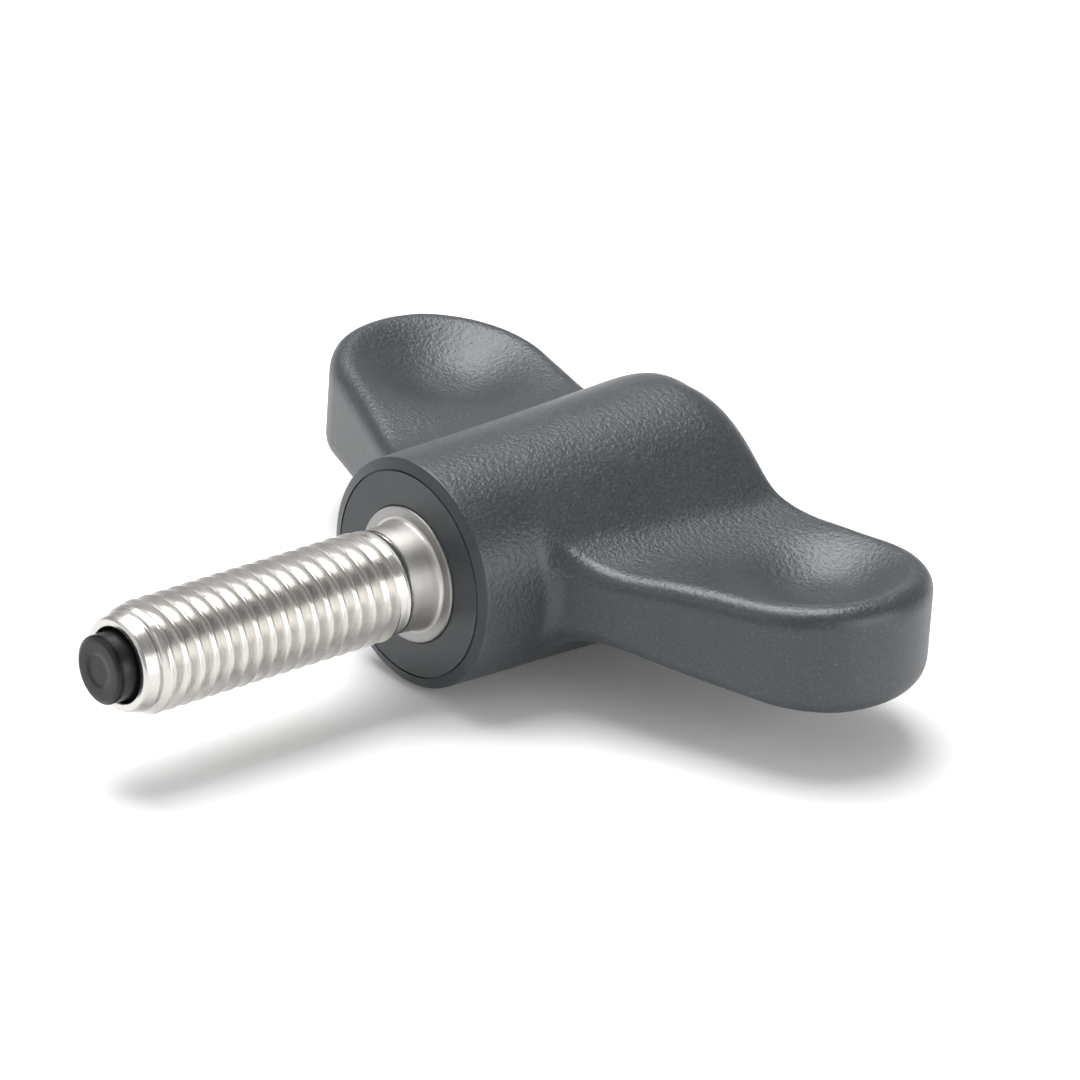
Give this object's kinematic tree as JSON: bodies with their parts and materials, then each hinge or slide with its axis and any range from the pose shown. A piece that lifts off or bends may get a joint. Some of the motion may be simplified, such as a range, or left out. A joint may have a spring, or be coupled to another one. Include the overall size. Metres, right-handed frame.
{
  "type": "wing screw",
  "caption": "Wing screw: dished plastic wing grip moulded round a stainless steel threaded stud whose end carries a plastic pressure pad.",
  "frame": {"origin": "on the screw axis, in the plane of the steel collar's seating face", "axes": "-Y along the stud toward its tip, +Y into the grip; X along the wings; Z through the wings' thickness"},
  "size_m": [0.057, 0.0556, 0.0178],
  "materials": {
    "grip_plastic": "fine spark-eroded grain",
    "stainless_steel": "turned, bright",
    "pad_plastic": "semi-matte"
  },
  "bodies": {
    "root": {"wing_body": "grip_plastic", "threaded_stud": "stainless_steel", "tip_pad": "pad_plastic"}
  },
  "joints": []
}
